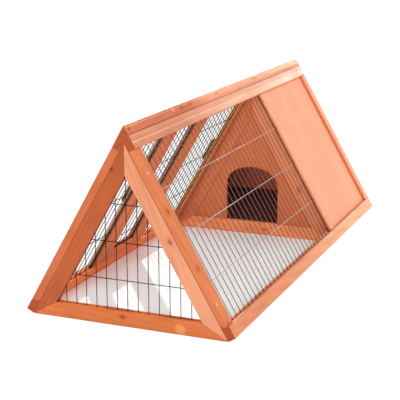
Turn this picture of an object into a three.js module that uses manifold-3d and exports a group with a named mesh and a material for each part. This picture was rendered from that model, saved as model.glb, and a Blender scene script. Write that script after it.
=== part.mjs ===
// Outdoor rabbit run: an A-frame of grooved rails and stiles with welded wire mesh,
// a boarded shelter behind an arched doorway, and two flap doors in the left slope.
// Millimetres. X to the right, Y from the mesh gable to the shelter, Z up, floor at Z = 0.
import * as THREE from "three";
import { mergeVertices } from "three/addons/utils/BufferGeometryUtils.js";
import Module from "manifold-3d";

const wasm = await Module();
wasm.setup();

// ---------------------------------------------------------------- driving dimensions

// The two leaning sides
const LENGTH = 1165; // along the ridge
const SLOPE = 500; // face of a side, from the apex to its foot
const LEAN = THREE.MathUtils.degToRad(60); // angle of a side to the floor

// Timber
const RAIL_THICK = 19;
const TOP_RAIL_END = 54; // lower edge of the top rails, down the slope from the apex
const BOTTOM_RAIL_WIDE = 30;
const STILE_RECESS = 4; // stiles lie this much behind the rails' outer faces
const STILE_WIDE = 36;
const FRONT_STILE_WIDE = 31.5;
const REAR_STILE_WIDE = 27.5;
const GABLE_THICK = 19;
const GABLE_WIDE = 33.5;
const ARRIS = 1; // eased edges
const CLEAR = 1; // how far a cutter runs on past the timber

// Grooves, lips and boards
const SEAT = 0.3; // gap where two pieces meet
const SLOT_DEEP = 6;
const MESH_SLOT_DEPTH = 10.7; // outer wall of the mesh groove, below the rail face
const LIP_RISE = 5; // inner lip of the bottom rails above their outer edge
const BOARD_THICK = 5;
const BOARD_RECESS = 8; // boards lie this much behind the rails' outer faces

// Welded wire mesh
const WIRE = 1.8;
const WELD = 0.3; // how far crossing wires melt into each other
const WIRE_SIDES = 6;
const PITCH = 25;
const RIGHT_FIRST_WIRE = 22; // from a stile to the first wire
const LEFT_FIRST_WIRE = 9;
const RIGHT_RUNS = [154, 262, 374]; // lengthwise wires, down the slope
const LEFT_RUNS = [127, 238, 360];
const DOOR_RUNS = [177, 288, 399];
const GABLE_RUNS = [101.5, 186, 270]; // level wires of the gable, above the floor
const GABLE_LAST_WIRE = 172; // outermost upright wire of the gable

// Places along the ridge
const SHELTER_START = 199; // near edge of the shelter stiles, from the middle
const SHELTER_STILE_FAR = 235;
const SECOND_STILE = -329; // near edge of the stile before the mesh door
const MESH_DOOR_WIDE = 191;
const LEFT_SHELTER_STILE = 173;

// Doors
const DOOR_GAP = 2;
const DOOR_FOOT_GAP = 1.5;
const HINGE_GAP = 3;
const DOOR_STILE_WIDE = 35;
const DOOR_HEAD_WIDE = 14; // top rails of the doors
const DOOR_RAIL_WIDE = 33; // bottom rails of the doors

// Butt hinges
const HINGE_LONG = 40;
const LEAF_THICK = 1;
const LEAF_DEEP = 12;
const PIN_RADIUS = 1;
const PIN_PLAY = 0.1;
const KNUCKLE_RADIUS = 2.2;
const KNUCKLE_RISE = 2; // hinge axis above the rail face
const KNUCKLE_PLAY = 0.4;
const KNUCKLE_SIDES = 16;
const HINGE_INSET = { mesh_door: 40, shelter_door: 58 }; // hinge middle from a door's edge

// Turn buttons
const BUTTON_PLACE = 225; // pivots, down the slope
const BUTTON_WIDE = 18;
const BUTTON_LONG = 70;
const BUTTON_THICK = 9;
const BUTTON_SEGMENTS = 10; // steps round each end
const SCREW_RADIUS = 2;
const SCREW_PLAY = 0.1;
const SCREW_GRIP = 10; // length in the stile
const SCREW_HEAD_RADIUS = 4;
const SCREW_HEAD_TALL = 2.4;
const SCREW_DOME_RADIUS = 2.8; // flat top of the head
const SCREW_SIDES = 20;

// Partition, shelter floor
const PARTITION_START = 201;
const PARTITION_STEP = 2.7; // panel face behind the rail face
const PANEL_THICK = 6;
const DOORWAY_WIDE = 150;
const DOORWAY_STRAIGHT = 138; // height where the arch springs
const DOORWAY_TOP = 189;
const DOORWAY_STEPS = 24; // straight lengths in the arch
const FLOOR_THICK = 6;
const FLOOR_REST = 6.5; // width of the rebates that carry the floor
const REST_WALL = 2; // timber between the rear rebate and the rear panel's groove

// Finishes
const TIMBER = { color: 0xd9743f };
const PALE_TIMBER = { color: 0xf2a077 };
const BOARD = { color: 0xf7ad88 };
const INNER_BOARD = { color: 0xc8653c };
const DARK_TIMBER = { color: 0x8f5230 };
const FRONT_WIRE = { color: 0x3b3836, metalness: 0.5 };
const SIDE_WIRE = { color: 0x8d8c88, metalness: 0.7 };
const ZINC = { color: 0xb9b7b2, metalness: 0.8 };
const WOOD_ROUGHNESS = 0.65;
const METAL_ROUGHNESS = 0.4;

// ---------------------------------------------------------------- derived sizes

const FRONT = -LENGTH / 2;
const REAR = LENGTH / 2;
const APEX_ANGLE = Math.PI - 2 * LEAN;
const APEX = SLOPE * Math.sin(LEAN) + RAIL_THICK * Math.cos(LEAN);
const RAIL_TOP = SLOPE - BOTTOM_RAIL_WIDE; // outer edge of the bottom rails
const LIP_TOP = RAIL_TOP - LIP_RISE;
const MESH_SLOT = {
  outer: MESH_SLOT_DEPTH,
  inner: MESH_SLOT_DEPTH + 2 * WIRE - WELD + 2 * SEAT,
};
const BOARD_SLOT = {
  outer: BOARD_RECESS - SEAT,
  inner: BOARD_RECESS + BOARD_THICK + SEAT,
};
const SECOND_STILE_FAR = SECOND_STILE + STILE_WIDE;
const MESH_DOOR = {
  near: SECOND_STILE_FAR + DOOR_GAP,
  far: SECOND_STILE_FAR + DOOR_GAP + MESH_DOOR_WIDE,
};
const THIRD_STILE = MESH_DOOR.far + DOOR_GAP;
const SHELTER_DOOR = {
  near: LEFT_SHELTER_STILE + STILE_WIDE + DOOR_GAP,
  far: REAR - STILE_WIDE - DOOR_GAP,
};
const DOOR_TOP = TOP_RAIL_END + HINGE_GAP;
const DOOR_FOOT = RAIL_TOP - DOOR_FOOT_GAP;
const HINGE_AXIS = TOP_RAIL_END + HINGE_GAP / 2;
const GABLE_OUTER = RAIL_THICK + SEAT; // depth below the slope's face
const GABLE_INNER = GABLE_OUTER + GABLE_WIDE;

// ---------------------------------------------------------------- shape helpers

// A closed geometry as a solid that can be cut and joined.
function solid(geometry) {
  const bare = geometry.clone();
  bare.deleteAttribute("normal");
  bare.deleteAttribute("uv");
  const merged = mergeVertices(bare);
  const mesh = new wasm.Mesh({
    numProp: 3,
    vertProperties: merged.attributes.position.array,
    triVerts: new Uint32Array(merged.index.array),
  });
  return new wasm.Manifold(mesh);
}

// A solid as a flat-shaded geometry.
function surface(body) {
  const mesh = body.getMesh();
  const indexed = new THREE.BufferGeometry();
  indexed.setAttribute("position", new THREE.BufferAttribute(mesh.vertProperties, 3));
  indexed.setIndex(new THREE.BufferAttribute(mesh.triVerts, 1));
  const geometry = indexed.toNonIndexed();
  geometry.computeVertexNormals();
  return geometry;
}

function piece(group, name, body, finish) {
  const roughness = finish.metalness ? METAL_ROUGHNESS : WOOD_ROUGHNESS;
  const material = new THREE.MeshStandardMaterial({ ...finish, roughness });
  const mesh = new THREE.Mesh(surface(body), material);
  mesh.name = name;
  group.add(mesh);
}

// An outline, anticlockwise, with its outward corners cut back by a small arris.
function eased(points, arris = ARRIS) {
  const outline = [];
  points.forEach(([x, y], i) => {
    const here = new THREE.Vector2(x, y);
    const before = new THREE.Vector2(...points.at(i - 1)).sub(here);
    const after = new THREE.Vector2(...points[(i + 1) % points.length]).sub(here);
    if (after.cross(before) <= 0) {
      outline.push([x, y]);
      return;
    }
    for (const edge of [before, after]) {
      edge.setLength(arris);
      outline.push([x + edge.x, y + edge.y]);
    }
  });
  return outline;
}

function extruded(points, depth) {
  const shape = new THREE.Shape(points.map(([x, y]) => new THREE.Vector2(x, y)));
  return new THREE.ExtrudeGeometry(shape, { depth, bevelEnabled: false });
}

// An outline in X and Z, drawn out along Y.
function upright(points, near, far) {
  return extruded(points, far - near).rotateX(Math.PI / 2).translate(0, far, 0);
}

// ---------------------------------------------------------------- slope frame
// On a slope, x runs down from the apex, z points outwards and depth is counted inwards
// from the rails' outer faces. Places along the ridge are given as Y on both sides.

const RIGHT = 1;
const LEFT = -1;

function slopeGroup(side) {
  const down = new THREE.Vector3(side * Math.cos(LEAN), 0, -Math.sin(LEAN));
  const out = new THREE.Vector3(side * Math.sin(LEAN), 0, Math.cos(LEAN));
  const along = new THREE.Vector3(0, side, 0);
  const group = new THREE.Group();
  group.setRotationFromMatrix(new THREE.Matrix4().makeBasis(down, along, out));
  group.position.z = APEX;
  return group;
}

// A block from start to end down the slope, near to far along it, outer to inner in depth.
function block(side, start, end, near, far, outer, inner) {
  const box = new THREE.BoxGeometry(end - start, far - near, inner - outer);
  const middle = (side * (near + far)) / 2;
  box.translate((start + end) / 2, middle, -(outer + inner) / 2);
  return solid(box);
}

// A section in x and z, drawn out along the ridge.
function lengthwise(side, section, near, far) {
  const body = extruded(section, far - near).rotateX(Math.PI / 2);
  return solid(body.translate(0, (side * (near + far) + far - near) / 2, 0));
}

// A bar with eased edges that runs down the slope.
function bar(side, start, end, near, far, outer, inner) {
  const half = (far - near) / 2;
  const section = eased([
    [-half, -inner],
    [half, -inner],
    [half, -outer],
    [-half, -outer],
  ]);
  const turn = new THREE.Matrix4().makeBasis(
    new THREE.Vector3(0, 1, 0),
    new THREE.Vector3(0, 0, 1),
    new THREE.Vector3(1, 0, 0),
  );
  const body = extruded(section, end - start).applyMatrix4(turn);
  return solid(body.translate(start, (side * (near + far)) / 2, 0));
}

function cut(body, cutters) {
  return cutters.reduce((rest, cutter) => rest.subtract(cutter), body);
}

// ---------------------------------------------------------------- long rails

// Grooves along a rail's inner edge, each { near, far, slot }.
function railGrooves(side, edge, direction, grooves) {
  const bottom = edge + direction * SLOT_DEEP;
  const open = edge - direction * (LIP_RISE + CLEAR);
  const [start, end] = [Math.min(bottom, open), Math.max(bottom, open)];
  return grooves.map((g) => block(side, start, end, g.near, g.far, g.slot.outer, g.slot.inner));
}

// The left rail runs up to the apex and is planed to the right slope's face. The right
// rail butts against the left one's inner face.
function topRail(side, grooves) {
  const lean = (depth, offset) => (offset + depth * Math.cos(APEX_ANGLE)) / Math.sin(APEX_ANGLE);
  const offset = side === LEFT ? 0 : RAIL_THICK + SEAT;
  const section = eased([
    [lean(RAIL_THICK, offset), -RAIL_THICK],
    [TOP_RAIL_END, -RAIL_THICK],
    [TOP_RAIL_END, 0],
    [lean(0, offset), 0],
  ]);
  const body = lengthwise(side, section, FRONT, REAR);
  return cut(body, railGrooves(side, TOP_RAIL_END, -1, grooves));
}

function bottomRail(side, grooves) {
  const section = eased([
    [LIP_TOP, -RAIL_THICK],
    [SLOPE, -RAIL_THICK],
    [SLOPE, 0],
    [RAIL_TOP, 0],
    [RAIL_TOP, -MESH_SLOT.inner],
    [LIP_TOP, -MESH_SLOT.inner],
  ]);
  const body = lengthwise(side, section, FRONT, REAR);
  return cut(body, railGrooves(side, RAIL_TOP, 1, grooves));
}

// ---------------------------------------------------------------- stiles

// Grooves down a stile's edges. Each of nearSlot and farSlot is a slot or undefined.
function stileGrooves(side, near, far, nearSlot, farSlot) {
  const cutters = [];
  if (nearSlot) {
    const { outer, inner } = nearSlot;
    cutters.push(block(side, 0, SLOPE, near - CLEAR, near + SLOT_DEEP, outer, inner));
  }
  if (farSlot) {
    const { outer, inner } = farSlot;
    cutters.push(block(side, 0, SLOPE, far - SLOT_DEEP, far + CLEAR, outer, inner));
  }
  return cutters;
}

// A stile between the long rails, with a stub tenon at each end and a foot that is
// notched over the bottom rail's lip.
function frameStile(side, near, far, { nearSlot, farSlot, recess = STILE_RECESS }) {
  const top = TOP_RAIL_END + SEAT;
  const foot = RAIL_TOP - SEAT;
  const notch = MESH_SLOT.inner - SEAT;
  const body = bar(side, top, foot, near, far, recess, RAIL_THICK);
  const lip = block(
    side,
    LIP_TOP - SEAT,
    foot + CLEAR,
    near - CLEAR,
    far + CLEAR,
    notch,
    RAIL_THICK + CLEAR,
  );
  const tenon = block(
    side,
    top - SLOT_DEEP + 2 * SEAT,
    foot + SLOT_DEEP - 2 * SEAT,
    near + SLOT_DEEP,
    far - SLOT_DEEP,
    MESH_SLOT.outer + SEAT,
    MESH_SLOT.inner - SEAT,
  );
  return cut(body.subtract(lip).add(tenon), stileGrooves(side, near, far, nearSlot, farSlot));
}

// ---------------------------------------------------------------- mesh and boards

function wireAlongSlope(side, y, start, end, depth) {
  const wire = new THREE.CylinderGeometry(WIRE / 2, WIRE / 2, end - start, WIRE_SIDES);
  wire.rotateZ(Math.PI / 2).translate((start + end) / 2, side * y, -depth);
  return solid(wire);
}

function wireAlongRidge(side, near, far, place, depth) {
  const wire = new THREE.CylinderGeometry(WIRE / 2, WIRE / 2, far - near, WIRE_SIDES);
  wire.translate(place, (side * (near + far)) / 2, -depth);
  return solid(wire);
}

// Welded mesh that fills a bay from start to end down the slope, near to far along it,
// and reaches into the grooves all round.
function bayMesh(side, { start, end, near, far, runs, first }) {
  const reach = SLOT_DEEP - SEAT;
  const crossDepth = MESH_SLOT.inner - SEAT - WIRE / 2;
  const runDepth = crossDepth - WIRE + WELD;
  const wires = [];
  for (let y = near + first; y < far - WIRE; y += PITCH) {
    wires.push(wireAlongSlope(side, y, start - reach, end + reach, crossDepth));
  }
  for (const place of runs) {
    wires.push(wireAlongRidge(side, near - reach, far + reach, place, runDepth));
  }
  return wasm.Manifold.union(wires);
}

function bayBoard(side, { start, end, near, far }) {
  const reach = SLOT_DEEP - SEAT;
  const inner = BOARD_RECESS + BOARD_THICK;
  return block(side, start - reach, end + reach, near - reach, far + reach, BOARD_RECESS, inner);
}

// ---------------------------------------------------------------- doors

function doorStile(near, far, nearSlot, farSlot) {
  const body = bar(LEFT, DOOR_TOP, DOOR_FOOT, near, far, STILE_RECESS, RAIL_THICK);
  const cutters = stileGrooves(LEFT, near, far, nearSlot, farSlot);
  return cut(body.subtract(doorRebate(near, far)), cutters);
}

// The door's foot is rebated so that it closes on the bottom rail's lip.
function doorRebate(near, far) {
  const start = LIP_TOP - DOOR_FOOT_GAP;
  const end = DOOR_FOOT + CLEAR;
  const outer = MESH_SLOT.inner - SEAT;
  return block(LEFT, start, end, near - CLEAR, far + CLEAR, outer, RAIL_THICK + CLEAR);
}

function doorRail(start, end, near, far, slot, grooveAtEnd) {
  const section = eased([
    [start, -RAIL_THICK],
    [end, -RAIL_THICK],
    [end, -STILE_RECESS],
    [start, -STILE_RECESS],
  ]);
  const body = lengthwise(LEFT, section, near + SEAT, far - SEAT);
  const reach = SLOT_DEEP - SEAT;
  const tenonStart = grooveAtEnd ? start : start + SLOT_DEEP;
  const tenonEnd = grooveAtEnd ? end - SLOT_DEEP : end;
  const tenon = block(
    LEFT,
    tenonStart + ARRIS,
    tenonEnd - ARRIS,
    near - reach,
    far + reach,
    slot.outer + SEAT,
    slot.inner - SEAT,
  );
  const grooveStart = grooveAtEnd ? end - SLOT_DEEP : start - CLEAR;
  const grooveEnd = grooveAtEnd ? end + CLEAR : start + SLOT_DEEP;
  const groove = block(LEFT, grooveStart, grooveEnd, near, far, slot.outer, slot.inner);
  const rail = body.add(tenon).subtract(groove);
  return grooveAtEnd ? rail : rail.subtract(doorRebate(near, far));
}

// Two leaves that lie in the joint above the door, and the pin through their knuckles.
function hinge(group, name, middle) {
  const near = middle - HINGE_LONG / 2;
  const third = HINGE_LONG / 3;
  const depth = -KNUCKLE_RISE;
  const barrel = (radius, from, to) => {
    const tube = new THREE.CylinderGeometry(radius, radius, to - from, KNUCKLE_SIDES);
    tube.translate(HINGE_AXIS, (LEFT * (from + to)) / 2, -depth);
    return solid(tube);
  };
  const bore = barrel(PIN_RADIUS + PIN_PLAY, near - CLEAR, near + HINGE_LONG + CLEAR);
  const frameFace = TOP_RAIL_END + SEAT;
  const doorFace = DOOR_TOP - SEAT;
  const far = near + HINGE_LONG;
  const leafFoot = depth + LEAF_DEEP;
  const playNear = near + third - KNUCKLE_PLAY;
  const playFar = near + 2 * third + KNUCKLE_PLAY;
  const centreGap = barrel(KNUCKLE_RADIUS + KNUCKLE_PLAY, playNear, playFar);
  const endGaps = [
    barrel(KNUCKLE_RADIUS + KNUCKLE_PLAY, near - CLEAR, near + third),
    barrel(KNUCKLE_RADIUS + KNUCKLE_PLAY, near + 2 * third, far + CLEAR),
  ];
  const frameLeaf = block(LEFT, frameFace, frameFace + LEAF_THICK, near, far, depth, leafFoot)
    .subtract(centreGap)
    .add(barrel(KNUCKLE_RADIUS, near, playNear))
    .add(barrel(KNUCKLE_RADIUS, playFar, far))
    .subtract(bore);
  const doorLeaf = cut(
    block(LEFT, doorFace - LEAF_THICK, doorFace, near, far, depth, leafFoot),
    endGaps,
  )
    .add(barrel(KNUCKLE_RADIUS, near + third, near + 2 * third))
    .subtract(bore);
  piece(group, `${name}_frame_leaf`, frameLeaf, ZINC);
  piece(group, `${name}_door_leaf`, doorLeaf, ZINC);
  piece(group, `${name}_pin`, barrel(PIN_RADIUS, near, far), ZINC);
}

// A framed flap between two stiles, with mesh or a board in it.
function door(group, name, { near, far }, slot, filling) {
  const nearEdge = near + DOOR_STILE_WIDE;
  const farEdge = far - DOOR_STILE_WIDE;
  const topEdge = DOOR_TOP + DOOR_HEAD_WIDE;
  const footEdge = DOOR_FOOT - DOOR_RAIL_WIDE;
  const bay = { start: topEdge, end: footEdge, near: nearEdge, far: farEdge };
  piece(group, `${name}_front_stile`, doorStile(near, nearEdge, undefined, slot), TIMBER);
  piece(group, `${name}_rear_stile`, doorStile(farEdge, far, slot, undefined), TIMBER);
  const topRailBody = doorRail(DOOR_TOP, topEdge, nearEdge, farEdge, slot, true);
  piece(group, `${name}_top_rail`, topRailBody, TIMBER);
  const footRailBody = doorRail(footEdge, DOOR_FOOT, nearEdge, farEdge, slot, false);
  piece(group, `${name}_bottom_rail`, footRailBody, TIMBER);
  filling(bay);
  const inset = HINGE_INSET[name];
  hinge(group, `${name}_front_hinge`, near + inset);
  hinge(group, `${name}_rear_hinge`, far - inset);
}

// ---------------------------------------------------------------- turn buttons

// Pivots in the middle of a stile. The long arm hangs down the slope, clear of the door.
const BUTTON_TAIL = (STILE_WIDE - DOOR_GAP) / 2;
const BUTTON_ARM = BUTTON_LONG - BUTTON_TAIL;

function turnButton(y) {
  const half = BUTTON_WIDE / 2;
  const outline = new THREE.Shape();
  outline.absarc(BUTTON_ARM - half, 0, half, -Math.PI / 2, Math.PI / 2);
  outline.absarc(half - BUTTON_TAIL, 0, half, Math.PI / 2, (3 * Math.PI) / 2);
  const body = new THREE.ExtrudeGeometry(outline, {
    depth: BUTTON_THICK - 2 * ARRIS,
    bevelThickness: ARRIS,
    bevelSize: ARRIS,
    bevelOffset: -ARRIS,
    bevelSegments: 1,
    curveSegments: BUTTON_SEGMENTS,
  });
  body.translate(BUTTON_PLACE, LEFT * y, SEAT - STILE_RECESS + ARRIS);
  return solid(body).subtract(screwHole(y, SCREW_RADIUS + SCREW_PLAY));
}

// A round hole through the button and into the stile, deeper than the screw.
function screwHole(y, radius) {
  const length = BUTTON_THICK + SCREW_GRIP + 2 * CLEAR;
  const hole = new THREE.CylinderGeometry(radius, radius, length, SCREW_SIDES);
  const middle = BUTTON_THICK + CLEAR - STILE_RECESS - length / 2;
  hole.rotateX(Math.PI / 2).translate(BUTTON_PLACE, LEFT * y, middle);
  return solid(hole);
}

// A pan-head screw: a domed head on a plain shank with a point.
function buttonScrew(y) {
  const under = 2 * SEAT + BUTTON_THICK;
  const profile = [
    [0, -SCREW_GRIP + SEAT],
    [SCREW_RADIUS, -SCREW_GRIP + 2 * SCREW_RADIUS],
    [SCREW_RADIUS, under],
    [SCREW_HEAD_RADIUS, under],
    [SCREW_HEAD_RADIUS, under + SCREW_HEAD_TALL / 2],
    [SCREW_DOME_RADIUS, under + SCREW_HEAD_TALL],
    [0, under + SCREW_HEAD_TALL],
  ].map(([r, z]) => new THREE.Vector2(r, z));
  const screw = new THREE.LatheGeometry(profile, SCREW_SIDES).rotateX(Math.PI / 2);
  return solid(screw.translate(BUTTON_PLACE, LEFT * y, -STILE_RECESS));
}

// ---------------------------------------------------------------- gables and partition

// Half the width between two planes that lie at a depth below the slopes' faces.
function halfWidth(depth, height) {
  return ((APEX - height) * Math.cos(LEAN) - depth) / Math.sin(LEAN);
}

// Height at which those two planes are a given half width apart.
function heightAt(depth, half) {
  return APEX - (depth + half * Math.sin(LEAN)) / Math.cos(LEAN);
}

function triangle(depth, base) {
  return [
    [-halfWidth(depth, base), base],
    [halfWidth(depth, base), base],
    [0, heightAt(depth, 0)],
  ];
}

// A trapezium of the gable's own width, cut at both ends to the slopes.
function crossPiece(depth, base, top) {
  return [
    [-halfWidth(depth, base), base],
    [halfWidth(depth, base), base],
    [halfWidth(depth, top), top],
    [-halfWidth(depth, top), top],
  ];
}

// One leg, mitred at the apex and at the foot.
function gableLeg(side) {
  const points = [
    [halfWidth(GABLE_OUTER, 0), 0],
    [SEAT / 2, heightAt(GABLE_OUTER, SEAT / 2)],
    [SEAT / 2, heightAt(GABLE_INNER, SEAT / 2)],
    [halfWidth(GABLE_INNER, GABLE_WIDE), GABLE_WIDE],
  ];
  return side === RIGHT ? points : points.map(([x, z]) => [-x, z]).reverse();
}

// The bottom rail between the mitres.
function gableRail() {
  const back = SEAT / Math.sin(LEAN / 2);
  const foot = halfWidth(GABLE_OUTER, 0) - back;
  const shoulder = halfWidth(GABLE_INNER, GABLE_WIDE) - back;
  return [
    [-foot, 0],
    [foot, 0],
    [shoulder, GABLE_WIDE],
    [-shoulder, GABLE_WIDE],
  ];
}

// A mitred triangle of timber with a groove all round its inner edges.
function gableFrame(group, name, near, slot) {
  const far = near + GABLE_THICK;
  const groove = solid(
    upright(triangle(GABLE_INNER - SLOT_DEEP, GABLE_WIDE - SLOT_DEEP), slot.near, slot.far),
  );
  const timber = (points) => solid(upright(eased(points), near, far)).subtract(groove);
  piece(group, `${name}_left_leg`, timber(gableLeg(LEFT)), TIMBER);
  piece(group, `${name}_right_leg`, timber(gableLeg(RIGHT)), PALE_TIMBER);
  return timber(gableRail());
}

function fillingOutline() {
  return triangle(GABLE_INNER - SLOT_DEEP + SEAT, GABLE_WIDE - SLOT_DEEP + SEAT);
}

// The mesh gable's wires, cut to the groove. The sheet's edge wire lies in the groove.
function gableMesh(slot) {
  const levelY = slot.near + SEAT + WIRE / 2;
  const uprightY = levelY + WIRE - WELD;
  const wires = [];
  const reach = halfWidth(GABLE_INNER - SLOT_DEEP, 0);
  for (let x = GABLE_LAST_WIRE; x > -reach; x -= PITCH) {
    const wire = new THREE.CylinderGeometry(WIRE / 2, WIRE / 2, APEX, WIRE_SIDES);
    wires.push(solid(wire.rotateX(Math.PI / 2).translate(x, uprightY, APEX / 2)));
  }
  const edgeWire = GABLE_WIDE - SLOT_DEEP + 2 * SEAT + WIRE / 2;
  for (const height of [edgeWire, ...GABLE_RUNS]) {
    const wire = new THREE.CylinderGeometry(WIRE / 2, WIRE / 2, 2 * reach, WIRE_SIDES);
    wires.push(solid(wire.rotateZ(Math.PI / 2).translate(0, levelY, height)));
  }
  const outline = solid(upright(fillingOutline(), slot.near, slot.far));
  return wasm.Manifold.union(wires).intersect(outline);
}

// The basket arch of the doorway, open at the bottom.
function doorwayOutline(base) {
  const half = DOORWAY_WIDE / 2;
  const rise = DOORWAY_TOP - DOORWAY_STRAIGHT;
  const points = [
    [-half, base],
    [half, base],
  ];
  for (let i = 0; i <= DOORWAY_STEPS; i++) {
    const angle = (Math.PI * i) / DOORWAY_STEPS;
    points.push([half * Math.cos(angle), DOORWAY_STRAIGHT + rise * Math.sin(angle)]);
  }
  return points;
}

const PANEL_NEAR = PARTITION_START + PARTITION_STEP;
const PANEL_FAR = PANEL_NEAR + PANEL_THICK;
const FLOOR_BASE = GABLE_WIDE - FLOOR_THICK - SEAT; // bottom of the rebates for the floor

function partitionRail() {
  const far = PARTITION_START + GABLE_THICK;
  const half = DOORWAY_WIDE / 2 - SEAT;
  const wide = 2 * halfWidth(0, 0);
  const rail = upright(eased(gableRail()), PARTITION_START, far);
  const rest = new THREE.BoxGeometry(wide, FLOOR_REST + CLEAR, GABLE_WIDE);
  rest.translate(0, far + (CLEAR - FLOOR_REST) / 2, FLOOR_BASE + GABLE_WIDE / 2);
  const grooves = [LEFT, RIGHT].map((side) => {
    const slot = new THREE.BoxGeometry(wide, PANEL_THICK + 2 * SEAT, 2 * SLOT_DEEP);
    slot.translate(side * (half + wide / 2), (PANEL_NEAR + PANEL_FAR) / 2, GABLE_WIDE);
    return solid(slot);
  });
  return cut(solid(rail), [solid(rest), ...grooves]);
}

function partitionPanel() {
  const panel = solid(upright(fillingOutline(), PANEL_NEAR, PANEL_FAR));
  const doorway = upright(doorwayOutline(0), PANEL_NEAR - CLEAR, PANEL_FAR + CLEAR);
  return panel.subtract(solid(doorway));
}

// A leg of the partition, grooved for the panel's edge.
function partitionLeg(side) {
  const far = PARTITION_START + GABLE_THICK;
  const leg = solid(upright(eased(gableLeg(side)), PARTITION_START, far));
  const outline = triangle(GABLE_INNER - SLOT_DEEP, GABLE_WIDE - SLOT_DEEP);
  return leg.subtract(solid(upright(outline, PANEL_NEAR - SEAT, PANEL_FAR + SEAT)));
}

// Fills the shelter between the slopes, from the partition to the rear gable. Its tongue
// lies between their legs and rests in the rebates of their bottom rails.
function shelterFloor(near, far) {
  const base = FLOOR_BASE + SEAT;
  const board = crossPiece(GABLE_OUTER, base, base + FLOOR_THICK);
  const tongueLong = far - near + 2 * (FLOOR_REST - SEAT);
  const tongueHalf = halfWidth(GABLE_INNER, GABLE_WIDE) - 2 * SEAT;
  const tongue = new THREE.BoxGeometry(2 * tongueHalf, tongueLong, FLOOR_THICK);
  tongue.translate(0, (near + far) / 2, base + FLOOR_THICK / 2);
  return solid(upright(board, near + SEAT, far - SEAT)).add(solid(tongue));
}

// ---------------------------------------------------------------- assembly

const run = new THREE.Group();
const rightSlope = slopeGroup(RIGHT);
const leftSlope = slopeGroup(LEFT);
run.add(rightSlope, leftSlope);

const INSET = SLOT_DEEP - SEAT; // a rail's groove starts this far inside a stile's edge
const bayEdges = { start: TOP_RAIL_END, end: RAIL_TOP };
const frontStileFar = FRONT + FRONT_STILE_WIDE;

// Right slope: one long mesh bay and the boarded shelter bay
const rearStileNear = REAR - REAR_STILE_WIDE;
const rightGrooves = [
  { near: FRONT + INSET, far: SHELTER_STILE_FAR - INSET, slot: MESH_SLOT },
  { near: SHELTER_STILE_FAR - SLOT_DEEP, far: rearStileNear + SLOT_DEEP, slot: BOARD_SLOT },
  { near: rearStileNear + INSET, far: REAR - INSET, slot: MESH_SLOT },
];
piece(rightSlope, "right_top_rail", topRail(RIGHT, rightGrooves), PALE_TIMBER);
piece(rightSlope, "right_bottom_rail", bottomRail(RIGHT, rightGrooves), PALE_TIMBER);
const rightStiles = [
  ["right_front_stile", FRONT, frontStileFar, { farSlot: MESH_SLOT }],
  [
    "right_shelter_stile",
    SHELTER_START,
    SHELTER_STILE_FAR,
    { nearSlot: MESH_SLOT, farSlot: BOARD_SLOT },
  ],
  ["right_rear_stile", rearStileNear, REAR, { nearSlot: BOARD_SLOT, recess: 0 }],
];
for (const [name, near, far, slots] of rightStiles) {
  piece(rightSlope, name, frameStile(RIGHT, near, far, slots), TIMBER);
}
const rightMeshBay = {
  ...bayEdges,
  near: frontStileFar,
  far: SHELTER_START,
  runs: RIGHT_RUNS,
  first: RIGHT_FIRST_WIRE,
};
piece(rightSlope, "right_mesh", bayMesh(RIGHT, rightMeshBay), SIDE_WIRE);
const rightBoardBay = { ...bayEdges, near: SHELTER_STILE_FAR, far: rearStileNear };
piece(rightSlope, "right_shelter_panel", bayBoard(RIGHT, rightBoardBay), BOARD);

// Left slope: mesh, mesh door, mesh, shelter door
const thirdStileFar = THIRD_STILE + STILE_WIDE;
const shelterStileFar = LEFT_SHELTER_STILE + STILE_WIDE;
const leftRearStile = REAR - STILE_WIDE;
const leftGrooves = [
  { near: FRONT + INSET, far: SECOND_STILE_FAR - INSET, slot: MESH_SLOT },
  { near: THIRD_STILE + INSET, far: shelterStileFar - INSET, slot: MESH_SLOT },
  { near: leftRearStile + INSET, far: REAR - INSET, slot: MESH_SLOT },
];
piece(leftSlope, "left_top_rail", topRail(LEFT, leftGrooves), TIMBER);
piece(leftSlope, "left_bottom_rail", bottomRail(LEFT, leftGrooves), TIMBER);
const buttonPlaces = [
  { name: "left_door_front_stile", near: SECOND_STILE, nearSlot: MESH_SLOT },
  { name: "left_door_rear_stile", near: THIRD_STILE, farSlot: MESH_SLOT },
  { name: "left_shelter_stile", near: LEFT_SHELTER_STILE, nearSlot: MESH_SLOT },
  { name: "left_rear_stile", near: leftRearStile },
];
const flushFarSlot = { farSlot: MESH_SLOT, recess: 0 };
const leftFrontStile = frameStile(LEFT, FRONT, frontStileFar, flushFarSlot);
piece(leftSlope, "left_front_stile", leftFrontStile, TIMBER);
buttonPlaces.forEach(({ name, near, nearSlot, farSlot }, i) => {
  const middle = near + STILE_WIDE / 2;
  const stile = frameStile(LEFT, near, near + STILE_WIDE, { nearSlot, farSlot });
  piece(leftSlope, name, stile.subtract(screwHole(middle, SCREW_RADIUS + SEAT)), TIMBER);
  piece(leftSlope, `turn_button_${i + 1}`, turnButton(middle), DARK_TIMBER);
  piece(leftSlope, `button_screw_${i + 1}`, buttonScrew(middle), ZINC);
});
const leftMeshBays = [
  ["left_front_mesh", frontStileFar, SECOND_STILE],
  ["left_rear_mesh", thirdStileFar, LEFT_SHELTER_STILE],
];
for (const [name, near, far] of leftMeshBays) {
  const bay = { ...bayEdges, near, far, runs: LEFT_RUNS, first: LEFT_FIRST_WIRE };
  piece(leftSlope, name, bayMesh(LEFT, bay), SIDE_WIRE);
}
door(leftSlope, "mesh_door", MESH_DOOR, MESH_SLOT, (bay) => {
  const mesh = bayMesh(LEFT, { ...bay, runs: DOOR_RUNS, first: LEFT_FIRST_WIRE });
  piece(leftSlope, "mesh_door_mesh", mesh, SIDE_WIRE);
});
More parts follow.
